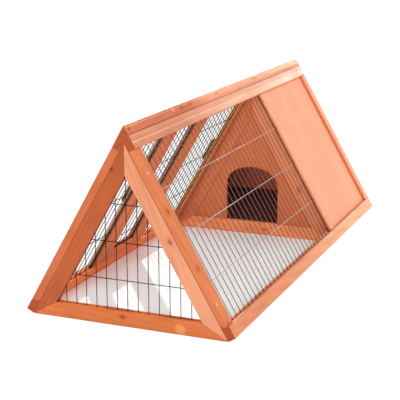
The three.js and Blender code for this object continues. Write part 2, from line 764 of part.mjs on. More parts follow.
door(leftSlope, "shelter_door", SHELTER_DOOR, BOARD_SLOT, (bay) => {
  piece(leftSlope, "shelter_door_panel", bayBoard(LEFT, bay), BOARD);
});

// Mesh gable
const meshStack = MESH_SLOT.inner - MESH_SLOT.outer;
const frontSlotNear = FRONT + (GABLE_THICK - meshStack) / 2;
const frontSlot = { near: frontSlotNear, far: frontSlotNear + meshStack };
piece(run, "front_bottom_rail", gableFrame(run, "front", FRONT, frontSlot), TIMBER);
piece(run, "front_mesh", gableMesh(frontSlot), FRONT_WIRE);

// Boarded rear gable, whose bottom rail carries the floor's far edge
const rearGable = REAR - GABLE_THICK;
const rearSlotNear = rearGable + FLOOR_REST + REST_WALL;
const rearSlot = { near: rearSlotNear, far: rearSlotNear + PANEL_THICK + 2 * SEAT };
const rearRest = new THREE.BoxGeometry(2 * halfWidth(0, 0), FLOOR_REST + CLEAR, GABLE_WIDE);
rearRest.translate(0, rearGable + (FLOOR_REST - CLEAR) / 2, FLOOR_BASE + GABLE_WIDE / 2);
const rearRail = gableFrame(run, "rear", rearGable, rearSlot);
piece(run, "rear_bottom_rail", rearRail.subtract(solid(rearRest)), TIMBER);
const rearPanel = upright(fillingOutline(), rearSlot.near + SEAT, rearSlot.far - SEAT);
piece(run, "rear_panel", solid(rearPanel), BOARD);

// Partition with the arched doorway, and the floor behind it
piece(run, "partition_rail", partitionRail(), TIMBER);
piece(run, "partition_panel", partitionPanel(), INNER_BOARD);
piece(run, "partition_left_batten", partitionLeg(LEFT), TIMBER);
piece(run, "partition_right_batten", partitionLeg(RIGHT), TIMBER);
const floorBoard = shelterFloor(PARTITION_START + GABLE_THICK, rearGable);
piece(run, "shelter_floor", floorBoard, INNER_BOARD);

export default run;
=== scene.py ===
"""Looks for the outdoor rabbit run: stained softwood, plywood, welded wire and zinc.

Metres, in the model's own frame: X to the right, Y from the mesh gable to the shelter, Z up,
floor at Z = 0. On a slope, s runs down from the apex, y along the ridge and depth inwards.
"""

import math
import random

import bmesh
import bpy
from mathutils import Matrix, Vector


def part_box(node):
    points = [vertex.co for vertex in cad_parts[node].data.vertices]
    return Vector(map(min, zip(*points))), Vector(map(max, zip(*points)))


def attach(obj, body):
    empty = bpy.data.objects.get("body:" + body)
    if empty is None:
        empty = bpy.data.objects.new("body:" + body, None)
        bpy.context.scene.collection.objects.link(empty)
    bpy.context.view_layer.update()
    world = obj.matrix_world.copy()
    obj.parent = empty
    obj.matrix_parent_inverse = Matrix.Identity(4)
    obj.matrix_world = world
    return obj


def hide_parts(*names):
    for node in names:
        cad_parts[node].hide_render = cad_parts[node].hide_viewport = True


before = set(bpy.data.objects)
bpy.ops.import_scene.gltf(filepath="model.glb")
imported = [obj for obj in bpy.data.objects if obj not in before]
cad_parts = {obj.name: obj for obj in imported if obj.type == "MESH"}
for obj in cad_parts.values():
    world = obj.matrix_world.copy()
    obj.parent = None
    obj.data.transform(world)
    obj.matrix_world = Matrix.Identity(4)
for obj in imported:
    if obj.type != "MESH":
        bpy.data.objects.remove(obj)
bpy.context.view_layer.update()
MM = 0.001

# ---------------------------------------------------------------- sizes of the run

LEAN = math.radians(60)
SLOPE = 500 * MM
RAIL_THICK = 19 * MM
APEX = SLOPE * math.sin(LEAN) + RAIL_THICK * math.cos(LEAN)
LEFT, RIGHT = -1, 1

# Where the slopes' rails end and begin, down the slope
TOP_RAIL_END = 54 * MM
BOTTOM_RAIL_START = 470 * MM
STILE_RECESS = 4 * MM
GABLE_WIDE = 33.5 * MM
GABLE_OUTER = 19.3 * MM
GABLE_INNER = GABLE_OUTER + GABLE_WIDE

SEAT = 0.3 * MM
SLOT_DEEP = 6 * MM
REACH = SLOT_DEEP - SEAT
WIRE = 1.8 * MM
WELD = 0.3 * MM  # how far crossing wires melt into each other
PITCH = 25 * MM
RIGHT_FIRST_WIRE = 22 * MM
LEFT_FIRST_WIRE = 9 * MM
CROSS_DEPTH = 13.4 * MM
RUN_DEPTH = CROSS_DEPTH - WIRE + WELD

# Lengthwise wires, down the slope, and the gable's level and outermost upright wires
RIGHT_RUNS = [154 * MM, 262 * MM, 374 * MM]
LEFT_RUNS = [127 * MM, 238 * MM, 360 * MM]
DOOR_RUNS = [177 * MM, 288 * MM, 399 * MM]
GABLE_RUNS = [101.5 * MM, 186 * MM, 270 * MM]
GABLE_LAST_WIRE = 172 * MM

# The mesh door's opening, down the slope
DOOR_HEAD = TOP_RAIL_END + 17 * MM  # under its top rail
DOOR_FOOT = BOTTOM_RAIL_START - 34.5 * MM  # over its bottom rail


def down(side):
    return Vector((side * math.cos(LEAN), 0, -math.sin(LEAN)))


def outward(side):
    return Vector((side * math.sin(LEAN), 0, math.cos(LEAN)))


def on_slope(side, s, y, depth=0.0):
    """A point s down a slope, y along the ridge and depth inwards from the rails' faces."""
    return Vector((0, y, APEX)) + down(side) * s - outward(side) * depth


def half_width(depth, height):
    """Half the width between two planes that lie at a depth below the slopes' faces."""
    return ((APEX - height) * math.cos(LEAN) - depth) / math.sin(LEAN)


def height_at(depth, half):
    """The height at which those two planes are half the width from the middle."""
    return APEX - (depth + half * math.sin(LEAN)) / math.cos(LEAN)


# ---------------------------------------------------------------- camera, stage and light

CAMERA_PLACE = (1.0125, -2.6091, 0.8666)
CAMERA_YAW = math.radians(-22.553)
CAMERA_PITCH = math.radians(-14.477)
CAMERA_ROLL = math.radians(-0.182)
CAMERA_LENS = 100.06
CAMERA_SENSOR = 36

# A low back light through the left side, a broad soft key from the right, and a glow that
# shows the shelter's rear wall through the doorway. Powers are in Blender's units.
SUN_TRAVEL = (0.412, -0.851, -0.325)
SUN_STRENGTH = 4.2
SUN_SPREAD = math.radians(1.2)
KEY_PLACE = (2.6, -1.6, 2.6)
KEY_TARGET = (0, 0, 0.2)
KEY_SIZE = 2.5
KEY_POWER = 34
GLOW_PLACE = (0, 0.3, 0.22)
GLOW_TARGET = (0, 0.56, 0.12)
GLOW_SIZE = 0.12
GLOW_POWER = 0.16

SKY_TILT = (0.2, 0.3, 0.93)  # where the sky is brightest
SKY_DIM = 0.35
SKY_BRIGHT = 1.05
WHITE = (1, 1, 1, 1)

FLOOR_HALF = 20
FLOOR_DROP = 0.5 * MM  # so that it does not share a plane with the rails' feet
FLOOR_WHITE = (0.8, 0.8, 0.8, 1)
FLOOR_SHADE = (0.9, 0.94, 0.95, 1)
FLOOR_GLOW = (0.7, 0.7, 0.7, 1)
FLOOR_SEEN = 1.02
FOOTPRINT = (0.2355, 0.577)  # half the ground that the run shades, across and along


def aim(thing, direction, roll=0.0):
    turn = Vector(direction).to_track_quat("-Z", "Y")
    thing.rotation_euler = (turn.to_matrix() @ Matrix.Rotation(roll, 3, "Z")).to_euler()


def add_camera():
    data = bpy.data.cameras.new("camera")
    data.lens = CAMERA_LENS
    data.sensor_width = CAMERA_SENSOR
    camera = bpy.data.objects.new("camera", data)
    bpy.context.scene.collection.objects.link(camera)
    camera.location = CAMERA_PLACE
    level = math.cos(CAMERA_PITCH)
    forward = (
        math.sin(CAMERA_YAW) * level,
        math.cos(CAMERA_YAW) * level,
        math.sin(CAMERA_PITCH),
    )
    aim(camera, forward, CAMERA_ROLL)
    bpy.context.scene.camera = camera


def add_light(data, place=(0, 0, 0), visible=True):
    light = bpy.data.objects.new(data.name, data)
    bpy.context.scene.collection.objects.link(light)
    light.location = place
    light.visible_camera = visible
    return light


def add_area(name, place, target, size, power):
    data = bpy.data.lights.new(name, "AREA")
    data.size = size
    data.energy = power
    aim(add_light(data, place, visible=False), Vector(target) - Vector(place))


def add_sun(name, travel, strength, spread):
    data = bpy.data.lights.new(name, "SUN")
    data.energy = strength
    data.angle = spread
    aim(add_light(data), travel)


def add_world():
    """White to the camera. As a light it is strongest overhead, and weaker in front than behind."""
    world = bpy.data.worlds.new("studio")
    bpy.context.scene.world = world
    world.use_nodes = True
    tree = world.node_tree
    new, link = tree.nodes.new, tree.links.new
    light = tree.nodes["Background"]
    light.inputs["Color"].default_value = WHITE
    backdrop = new("ShaderNodeBackground")
    backdrop.inputs["Color"].default_value = WHITE
    place = new("ShaderNodeTexCoord").outputs["Generated"]
    tilt = new("ShaderNodeVectorMath")
    tilt.operation = "DOT_PRODUCT"
    link(place, tilt.inputs[0])
    tilt.inputs[1].default_value = SKY_TILT
    strength = new("ShaderNodeMapRange")
    link(tilt.outputs["Value"], strength.inputs["Value"])
    strength.inputs["From Min"].default_value = -1
    strength.inputs["To Min"].default_value = SKY_DIM
    strength.inputs["To Max"].default_value = SKY_BRIGHT
    link(strength.outputs[0], light.inputs["Strength"])
    mix = new("ShaderNodeMixShader")
    link(new("ShaderNodeLightPath").outputs["Is Camera Ray"], mix.inputs[0])
    link(light.outputs[0], mix.inputs[1])
    link(backdrop.outputs[0], mix.inputs[2])
    link(mix.outputs[0], tree.nodes["World Output"].inputs["Surface"])


def floor_material():
    """Round the run the floor glows, painted light that keeps it white with no shadows there; under
    the run it does not glow and shows a soft grey in the shade.
    """
    n = Nodes("floor")
    place = n.add("TexCoord").outputs["Object"]
    parts = n.add("SeparateXYZ", {0: place}).outputs
    across = n.math("LESS_THAN", n.math("ABSOLUTE", parts[0]), FOOTPRINT[0])
    along = n.math("LESS_THAN", n.math("ABSOLUTE", parts[1]), FOOTPRINT[1])
    under = n.math("MULTIPLY", across, along)
    n.join(n.mix(under, FLOOR_WHITE, FLOOR_SHADE), n.shader.inputs["Base Color"])
    # Painted light: the floor glows outside the run's footprint
    n.join(n.span(under, 0, 1, 1, 0), n.shader.inputs["Emission Strength"])
    n.shader.inputs["Emission Color"].default_value = FLOOR_GLOW
    n.shader.inputs["Roughness"].default_value = 0.9
    n.shader.inputs["Specular IOR Level"].default_value = 0.0
    # Seen directly it is just white, as a brighter floor would eat into thin wires' edges
    seen = n.add("LightPath").outputs["Is Camera Ray"]
    seen = n.math("MULTIPLY", seen, n.math("SUBTRACT", 1, under))
    white = n.add("Emission", {"Color": WHITE, "Strength": FLOOR_SEEN})
    mixed = n.add("MixShader", {0: seen, 1: n.shader.outputs[0], 2: white.outputs[0]})
    n.join(mixed.outputs[0], n.tree.nodes["Material Output"].inputs["Surface"])
    return n.material


def add_stage():
    scene = bpy.context.scene
    scene.view_settings.view_transform = "Standard"
    add_world()
    mesh = bpy.data.meshes.new("floor")
    corners = [(x * FLOOR_HALF, y * FLOOR_HALF, 0) for x, y in ((-1, -1), (1, -1), (1, 1), (-1, 1))]
    mesh.from_pydata(corners, [], [(0, 1, 2, 3)])
    floor = bpy.data.objects.new("floor", mesh)
    scene.collection.objects.link(floor)
    floor.location.z = -FLOOR_DROP
    mesh.materials.append(floor_material())
    add_sun("back_light", SUN_TRAVEL, SUN_STRENGTH, SUN_SPREAD)
    add_area("key", KEY_PLACE, KEY_TARGET, KEY_SIZE, KEY_POWER)
    add_area("shelter_glow", GLOW_PLACE, GLOW_TARGET, GLOW_SIZE, GLOW_POWER)


# ---------------------------------------------------------------- node helpers


class Nodes:
    """A material under construction, with short forms for its nodes."""

    def __init__(self, name):
        self.material = bpy.data.materials.new(name)
        self.material.use_nodes = True
        self.tree = self.material.node_tree
        self.shader = self.tree.nodes["Principled BSDF"]

    def join(self, value, socket):
        """Link a node's output to a socket, or set the socket to a plain value."""
        if isinstance(value, bpy.types.NodeSocket):
            self.tree.links.new(value, socket)
        else:
            socket.default_value = value

    def add(self, kind, inputs=(), **settings):
        node = self.tree.nodes.new("ShaderNode" + kind)
        for key, value in settings.items():
            setattr(node, key, value)
        for key, value in dict(inputs).items():
            self.join(value, node.inputs[key])
        return node

    def math(self, operation, *values):
        return self.add("Math", enumerate(values), operation=operation).outputs[0]

    def vector(self, operation, *values):
        node = self.add("VectorMath", operation=operation)
        for i, value in enumerate(values):
            name = "Scale" if operation == "SCALE" and i == 1 else i
            self.join(value, node.inputs[name])
        return node.outputs["Value" if operation in ("LENGTH", "DOT_PRODUCT") else 0]

    def noise(self, place, scale, detail=3.0, roughness=0.55):
        inputs = {"Vector": place, "Scale": scale, "Detail": detail, "Roughness": roughness}
        return self.add("TexNoise", inputs).outputs[0]

    def span(self, value, low, high, to_low=0.0, to_high=1.0, straight=False):
        """Value from low..high to to_low..to_high, smoothly and clamped."""
        inputs = {0: value, 1: low, 2: high, 3: to_low, 4: to_high}
        kind = "LINEAR" if straight else "SMOOTHSTEP"
        return self.add("MapRange", inputs, interpolation_type=kind).outputs[0]

    def along_ridge(self, place, stops):
        """A colour that changes along Y, given as places and colours."""
        y = self.add("SeparateXYZ", {0: place}).outputs[1]
        low, high = stops[0][0], stops[-1][0]
        ramp = self.add("ValToRGB", {0: self.span(y, low, high, straight=True)})
        elements = ramp.color_ramp.elements
        while len(elements) < len(stops):
            elements.new(0.5)
        for element, (at, tone) in zip(elements, stops):
            element.position = (at - low) / (high - low)
            element.color = tone
        return ramp.outputs[0]

    def mix(self, share, first, second, blend="MIX"):
        node = self.add("Mix", data_type="RGBA", blend_type=blend)
        self.join(share, node.inputs[0])
        self.join(first, node.inputs[6])
        self.join(second, node.inputs[7])
        return node.outputs[2]

    def tint(self, tone, factors):
        """A colour multiplied by the channels of another."""
        return self.mix(1.0, tone, factors, "MULTIPLY")


def colour(red, green, blue):
    """A colour given as display values from 0 to 255, as a shader socket takes it."""

    def linear(value):
        value /= 255
        return value / 12.92 if value <= 0.04045 else ((value + 0.055) / 1.055) ** 2.4

    return (linear(red), linear(green), linear(blue), 1)


def shaded(tone, factor):
    return (*(min(1.0, channel * factor) for channel in tone[:3]), 1)


# ---------------------------------------------------------------- wood

RING = 4.5 * MM  # width of a growth ring in the timbers
BOARD_RING = 16 * MM
BUTTON_RING = 2.5 * MM
RING_TAPER = 0.035  # how slowly the rings change along the grain
RING_WANDER = 9 * MM
PITH_FAR = (26 * MM, 60 * MM)  # from a piece's middle to the heart of its log
KNOT_STRETCH = 1.7  # a knot's length along the grain over its width
KNOT_PUSH = 0.8  # how far the grain bends round a knot
KNOT_FALL = 0.22  # how soon that dies away
BAND_SOFT = 0.8 * MM
CREVICE = 5 * MM
BUMP = 0.3 * MM
WOOD_GLOSS = 0.1

# How fine each noise is, along the grain and across it
STREAKS = (3, 95, 95)
FIBRES = (22, 900, 900)
BLOTCHES = (7, 17, 17)
BROAD = (2.0, 6, 6)
WAVER = (2.2, 14, 14)
KNOT_RINGS = (250, 420, 420)

# What the stain is multiplied by
LIGHTER = (1.1, 1.1, 1.1, 1)
DARKER = (0.78, 0.74, 0.72, 1)
RUSTIER = (0.74, 0.56, 0.46, 1)
CUT_END = (0.8, 0.672, 0.64, 1)
CUT_RINGS = (0.75, 0.65, 0.6, 1)
KNOT_HEART = (0.5, 0.32, 0.3, 1)
# The painted shade in joints, grooves and corners
CREVICE_SHADE = (0.5, 0.36, 0.3, 1)


class Wood(Nodes):
    """Softwood cut from one log. The pattern is solid, so the faces of a piece agree."""

    def __init__(self, name, grain, seed):
        super().__init__(name)
        dice = random.Random(seed)
        self.turn = Vector(grain).rotation_difference(Vector((1, 0, 0))).to_matrix()
        self.shift = Vector((dice.uniform(-5, 5), dice.uniform(-1, 1), dice.uniform(-1, 1)))
        coordinates = self.add("TexCoord")
        self.place = coordinates.outputs["Object"]
        self.normal = coordinates.outputs["Normal"]
        inputs = {"Vector": self.place, "Location": self.shift, "Rotation": self.turn.to_euler()}
        self.log = self.add("Mapping", inputs, vector_type="POINT").outputs[0]
        angle = dice.uniform(0, 2 * math.pi)
        far = dice.uniform(*PITH_FAR)
        middle = self.in_log(sum(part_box(name), Vector()) / 2)
        self.pith = Vector((0, middle.y + math.cos(angle) * far, middle.z + math.sin(angle) * far))

    def in_log(self, point):
        return self.turn @ Vector(point) + self.shift

    def grain_noise(self, place, fineness, detail):
        return self.noise(self.vector("MULTIPLY", place, fineness), 1.0, detail)

    def looks_along(self, direction, low, both=False):
        """1 on the faces that look one way, or that way and back."""
        facing = self.vector("DOT_PRODUCT", self.normal, direction)
        return self.span(self.math("ABSOLUTE", facing) if both else facing, low, 0.95)

    def bend_round(self, knots):
        """The log's coordinates bent round its knots, and each knot's distance and offset."""
        bent = self.log
        marks = []
        for point, radius in knots:
            away = self.vector("SUBTRACT", self.log, self.in_log(point))
            squeezed = self.vector("MULTIPLY", away, (1 / KNOT_STRETCH, 1, 1))
            distance = self.math("DIVIDE", self.vector("LENGTH", squeezed), radius)
            falloff = self.math("MULTIPLY", distance, distance)
            near = self.math("POWER", math.e, self.math("MULTIPLY", falloff, -KNOT_FALL))
            push = self.vector("SCALE", away, self.math("MULTIPLY", near, -KNOT_PUSH))
            bent = self.vector("ADD", bent, push)
            marks.append((distance, away))
        return bent, marks

    def growth_rings(self, bent, ring):
        """Narrow dark lines about a pith that lies outside the piece."""
        flat = self.vector("MULTIPLY", self.vector("SUBTRACT", bent, self.pith), (RING_TAPER, 1, 1))
        wander = self.math("MULTIPLY", self.grain_noise(bent, WAVER, 2.0), RING_WANDER)
        radius = self.math("ADD", self.vector("LENGTH", flat), wander)
        phase = self.math("MULTIPLY", radius, 2 * math.pi / ring)
        wave = self.math("MULTIPLY_ADD", self.math("SINE", phase), 0.5, 0.5)
        return self.math("POWER", wave, 3.0)

    def stain(self, tone, fade, bands, shade_flank, streak):
        """The stain before the grain shows in it, with painted shade on the faces that look along
        -Y.
        """
        on_face = self.looks_along(outward(RIGHT), 0.7)
        base = self.mix(on_face, tone, self.along_ridge(self.place, fade)) if fade else tone
        for low, high, band_tone, share in bands:
            slope = self.vector("DOT_PRODUCT", self.place, down(RIGHT))
            slope = self.math("ADD", slope, APEX * math.sin(LEAN))
            after = self.span(slope, low - BAND_SOFT, low + BAND_SOFT)
            before = self.span(slope, high - BAND_SOFT, high + BAND_SOFT, 1, 0)
            ragged = self.span(streak, 0.3, 0.6, 0.7, 1.0)
            inside = self.math("MULTIPLY", self.math("MULTIPLY", after, before), ragged)
            inside = self.math("MULTIPLY", inside, on_face)
            base = self.mix(self.math("MULTIPLY", inside, share), base, band_tone)
        # Painted shade on the faces that look along -Y, towards the front
        if shade_flank:
            base = self.mix(self.looks_along((0, -1, 0), 0.8), base, shade_flank)
        return base

    def draw_knots(self, look, base, rust, marks):
        """Knots with a rusty halo and a dark heart, and each knot's place in the relief."""
        cores = []
        for distance, away in marks:
            rings = self.grain_noise(away, KNOT_RINGS, 2.0)
            core = self.span(distance, 0.45, 1.05, 1, 0)
            look = self.mix(self.span(distance, 0.9, 2.4, 0.45, 0), look, rust)
            share = self.math("MULTIPLY", core, self.span(rings, 0.3, 0.6, 0.75, 1))
            look = self.mix(share, look, self.tint(base, KNOT_HEART))
            cores.append(core)
        return look, cores

    def draw_patches(self, look, patches, blotch):
        for point, radius, patch_tone, share in patches:
            away = self.vector("SUBTRACT", self.place, Vector(point))
            near = self.math("DIVIDE", self.vector("LENGTH", away), radius)
            near = self.math("ADD", near, self.span(blotch, 0.3, 0.7, -0.3, 0.3))
            look = self.mix(self.span(near, 0.45, 1.15, share, 0), look, patch_tone)
        return look

    def shade_crevices(self, look):
        """Painted shade: joints, grooves and corners darken where little light reaches them."""
        crevice = self.add("AmbientOcclusion", {"Distance": CREVICE}, samples=4)
        shade = self.span(crevice.outputs["AO"], 0.35, 0.95, 1, 0)
        return self.mix(self.math("MULTIPLY", shade, 0.8), look, self.tint(look, CREVICE_SHADE))


def wood(name, tone, grain, seed, knots=(), ring=RING, contrast=1.0, patches=(), fade=(),
         bands=(), shade_flank=None, gloss=WOOD_GLOSS):
    """Stained softwood with growth rings, streaks, knots and end grain.

    Each knot is a point and a radius. Each patch is a point, a radius, a colour and its
    share. fade gives the colour of the right slope's face at places along the ridge. Each
    band is a low and a high place down that face, a colour and its share. shade_flank is
    the colour of faces that look along -Y: painted shade on the sides turned to the front.
    """
    n = Wood(name, grain, seed)
    bent, marks = n.bend_round(knots)
    late = n.growth_rings(bent, ring)
    streak = n.grain_noise(bent, STREAKS, 4.0)
    fibre = n.grain_noise(bent, FIBRES, 2.0)
    blotch = n.grain_noise(bent, BLOTCHES, 3.0)
    broad = n.grain_noise(bent, BROAD, 1.0)

    base = n.stain(tone, fade, bands, shade_flank, streak)
    dark = n.tint(base, DARKER)
    rust = n.tint(base, RUSTIER)
    look = n.mix(n.span(broad, 0.35, 0.65), base, n.tint(base, LIGHTER))
    look = n.mix(n.span(blotch, 0.42, 0.72, 0, 0.5 * contrast), look, dark)
    look = n.mix(n.span(streak, 0.5, 0.74, 0, 0.45 * contrast), look, rust)
    look = n.mix(n.math("MULTIPLY", late, 0.25 * contrast), look, rust)
    look = n.mix(n.span(fibre, 0.55, 0.75, 0, 0.12), look, dark)

    # End grain drinks more stain
    cut_end = n.looks_along(Vector(grain), 0.75, both=True)
    end = n.tint(base, CUT_END)
    end = n.mix(n.math("MULTIPLY", late, 0.6), end, n.tint(end, CUT_RINGS))
    look = n.mix(cut_end, look, end)

    look, cores = n.draw_knots(look, base, rust, marks)
    # Painted shade in joints, grooves and corners
    look = n.shade_crevices(n.draw_patches(look, patches, blotch))

    height = n.math("MULTIPLY_ADD", late, -0.5, n.math("MULTIPLY", fibre, 0.6))
    for core in cores:
        height = n.math("ADD", height, n.math("MULTIPLY", core, 0.5))
    bump = n.add("Bump", {"Strength": 0.35, "Distance": BUMP, "Height": height})
    roughness = n.math("MULTIPLY_ADD", streak, 0.3, 0.42)
    roughness = n.math("ADD", roughness, n.math("MULTIPLY", cut_end, 0.2))
    n.join(look, n.shader.inputs["Base Color"])
    n.join(roughness, n.shader.inputs["Roughness"])
    n.join(bump.outputs[0], n.shader.inputs["Normal"])
    n.shader.inputs["Specular IOR Level"].default_value = gloss
    return n.material


# ---------------------------------------------------------------- metal

DULL_SPOTS = 160  # how fine the dull spots and the spangle are
SPANGLE = 1500
METAL_BUMP = 0.05 * MM


def wire_metal(name, tone, metallic=0.0, gloss=0.5):
    """Weathered metal with fine spangle and dull spots."""
    n = Nodes(name)
    place = n.add("TexCoord").outputs["Object"]
    dull = n.noise(place, DULL_SPOTS, 3.0)
    fine = n.noise(place, SPANGLE, 2.0)
    look = n.mix(n.span(dull, 0.4, 0.65), shaded(tone, 1.12), shaded(tone, 0.74))
    look = n.mix(n.span(fine, 0.5, 0.7, 0, 0.35), look, shaded(tone, 0.55))
    bump = n.add("Bump", {"Strength": 0.3, "Distance": METAL_BUMP, "Height": fine})
    n.join(look, n.shader.inputs["Base Color"])
    n.join(n.span(dull, 0.35, 0.7, 0.5, 0.7), n.shader.inputs["Roughness"])
    n.join(bump.outputs[0], n.shader.inputs["Normal"])
    n.shader.inputs["Metallic"].default_value = metallic
    n.shader.inputs["Specular IOR Level"].default_value = gloss
    return n.material


# ---------------------------------------------------------------- colours of the pieces

ORANGE = colour(200, 108, 66)
SHADY = colour(168, 114, 84)
PEACH = colour(208, 137, 102)
# Painted shade for the rails' faces that look along -Y
FLANK_SHADE = colour(186, 98, 62)
PANEL = colour(243, 158, 126)
UMBER = colour(126, 74, 46)
FILLER = colour(240, 172, 108)
# One galvanised wire in lit and shaded copies: painted shade on the wires up the slope and on the
# left side, a painted highlight on the right's lengthwise wires, and near black as the darkest
# painted shade on the mesh gable, the edge wires and the staples
SHADED_SIDE_WIRE = colour(88, 78, 73)
LIT_WIRE = colour(178, 164, 158)
SHADED_FRONT_WIRE = colour(22, 21, 23)
SHADE_WIRE = colour(62, 56, 54)
ZINC = colour(196, 194, 190)

ALONG_X = (1, 0, 0)
ALONG_Y = (0, 1, 0)
UP = (0, 0, 1)
DOWN_LEFT = tuple(down(LEFT))
DOWN_RIGHT = tuple(down(RIGHT))


def mm(*place):
    return tuple(value * MM for value in place)


# The ridge is oranger near the mesh gable and paler towards the shelter
RIDGE_FADE = [
    (-0.56, colour(196, 111, 76)),
    (-0.25, colour(191, 107, 73)),
    (-0.12, colour(229, 156, 126)),
    (0.20, colour(232, 166, 137)),
    (0.34, colour(252, 192, 158)),
    (0.56, colour(250, 196, 164)),
]
RIGHT_RAIL_FADE = [
    (-0.56, colour(192, 129, 98)),
    (-0.30, colour(194, 132, 102)),
    (-0.10, colour(230, 166, 137)),
    (0.20, colour(246, 190, 162)),
    (0.35, colour(254, 206, 180)),
    (0.56, colour(252, 214, 192)),
]
BOTTOM_RAIL_FADE = [
    (-0.56, colour(212, 134, 94)),
    (-0.25, colour(212, 135, 96)),
    (-0.05, colour(213, 141, 105)),
    (0.08, colour(219, 152, 114)),
    (0.25, colour(228, 171, 133)),
    (0.56, colour(232, 178, 142)),
]

# Each timber piece: its colour, the way its grain runs, and what sets it apart
TIMBER = {
    "left_top_rail": (
        ORANGE,
        ALONG_Y,
        {
            "fade": RIDGE_FADE,
            "shade_flank": FLANK_SHADE,
            "knots": [
                (mm(5.3, -568, 433.3), 3.5 * MM),
                (mm(4.1, -291.2, 435.4), 3.6 * MM),
                (mm(4.9, -237.8, 434.1), 3.0 * MM),
                (mm(4.7, -75.8, 434.4), 2.6 * MM),
                (mm(4.4, 196, 434.9), 2.8 * MM),
                (mm(4.8, 214, 434.2), 2.4 * MM),
            ],
            "patches": [(mm(3.3, -338, 436.9), 9 * MM, colour(236, 170, 112), 0.6)],
            "bands": [
                (4 * MM, 6.5 * MM, colour(250, 196, 164), 0.35),
                (14 * MM, 20.5 * MM, colour(196, 110, 80), 0.45),
                (20.5 * MM, 22.6 * MM, colour(120, 62, 44), 0.55),
            ],
        },
    ),
    "right_top_rail": (
        PEACH,
        ALONG_Y,
        {
            "fade": RIGHT_RAIL_FADE,
            "shade_flank": FLANK_SHADE,
            "bands": [
                (21 * MM, 24.2 * MM, colour(140, 74, 54), 0.5),
                (25 * MM, 35 * MM, colour(214, 134, 106), 0.3),
                (34.5 * MM, 36.2 * MM, colour(196, 116, 90), 0.5),
                (38 * MM, 42 * MM, colour(255, 206, 180), 0.3),
                (50.5 * MM, 54.5 * MM, colour(190, 110, 82), 0.35),
            ],
        },
    ),
    # The left bottom rail's colour is lighter than ORANGE: painted light that makes up for the
    # shade on its inner face inside the run
    "left_bottom_rail": (colour(240, 128, 68), ALONG_Y, {"shade_flank": FLANK_SHADE}),
    "right_bottom_rail": (PEACH, ALONG_Y, {"fade": BOTTOM_RAIL_FADE, "shade_flank": FLANK_SHADE}),
    "right_front_stile": (
        colour(202, 116, 73),
        DOWN_RIGHT,
        {
            "knots": [
                (mm(97, -576.5, 266.5), 4.6 * MM),
                (mm(163.7, -577, 151), 4.2 * MM),
                (mm(227.9, -571, 39.8), 2.2 * MM),
            ]
        },
    ),
    "right_shelter_stile": (PANEL, DOWN_RIGHT, {"shade_flank": colour(232, 148, 102)}),
    "right_rear_stile": (
        ORANGE,
        DOWN_RIGHT,
        {
            "fade": [(0.5, colour(233, 166, 132)), (0.6, colour(233, 166, 132))],
            "shade_flank": colour(224, 132, 90),
        },
    ),
    "front_left_leg": (
        colour(172, 87, 49),
        DOWN_LEFT,
        {"knots": [(mm(-29.9, -582.5, 346.5), 3.6 * MM)]},
    ),
    "front_right_leg": (
        PEACH,
        DOWN_RIGHT,
        {
            "knots": [(mm(102.9, -582.5, 202.1), 4.8 * MM)],
            "patches": [(mm(206, -588, 40), 150 * MM, colour(226, 154, 118), 0.7)],
        },
    ),
    "front_bottom_rail": (
        colour(208, 117, 70),
        ALONG_X,
        {
            "gloss": 0.0,
            "knots": [(mm(-11.2, -582.5, 21.3), 4.2 * MM)],
            "patches": [(mm(124, -582.5, 12), 12 * MM, FILLER, 0.45)],
        },
    ),
    "rear_left_leg": (ORANGE, DOWN_LEFT, {}),
    "rear_right_leg": (ORANGE, DOWN_RIGHT, {}),
    "rear_bottom_rail": (ORANGE, ALONG_X, {}),
    # The partition's rail is much lighter than the other timbers: painted light that makes up for
    # the shade inside the run
    "partition_rail": (
        colour(255, 158, 100),
        ALONG_X,
        {"knots": [(mm(39.1, 201, 15), 4 * MM)]},
    ),
    "partition_left_batten": (colour(224, 128, 80), DOWN_LEFT, {}),
    "partition_right_batten": (
        colour(232, 140, 96),
        DOWN_RIGHT,
        {"knots": [(mm(136, 201, 135.8), 4.6 * MM)]},
    ),
    "left_front_stile": (colour(187, 99, 61), DOWN_LEFT, {}),
    "left_shelter_stile": (ORANGE, DOWN_LEFT, {"shade_flank": colour(206, 138, 76)}),
}
for piece_name in (
    "left_door_front_stile",
    "left_door_rear_stile",
    "left_rear_stile",
    "mesh_door_front_stile",
    "mesh_door_rear_stile",
    "shelter_door_front_stile",
    "shelter_door_rear_stile",
):
    TIMBER[piece_name] = (ORANGE, DOWN_LEFT, {"shade_flank": SHADY})
for piece_name in (
    "mesh_door_top_rail",
    "mesh_door_bottom_rail",
    "shelter_door_top_rail",
    "shelter_door_bottom_rail",
):
    TIMBER[piece_name] = (ORANGE, ALONG_Y, {})

PANEL_MARKS = [
    (mm(48.7, 400, 342), 34 * MM, colour(236, 148, 112), 0.25),
    (mm(91, 309, 268.7), 26 * MM, colour(232, 144, 108), 0.25),
    (mm(143, 308, 179), 22 * MM, colour(238, 152, 116), 0.2),
]
BOARDS = {
    "right_shelter_panel": (PANEL, DOWN_RIGHT, {"patches": PANEL_MARKS, "contrast": 0.2}),
    "shelter_door_panel": (colour(226, 140, 100), DOWN_LEFT, {}),
    "rear_panel": (colour(214, 112, 76), UP, {}),
    "partition_panel": (colour(212, 118, 72), UP, {}),
    # The shelter floor's colour is far darker than the other boards': painted shade for the floor
    # inside the closed shelter
    "shelter_floor": (colour(84, 44, 36), ALONG_X, {}),
}


def dress(name, material):
    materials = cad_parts[name].data.materials
    materials.clear()
    materials.append(material)


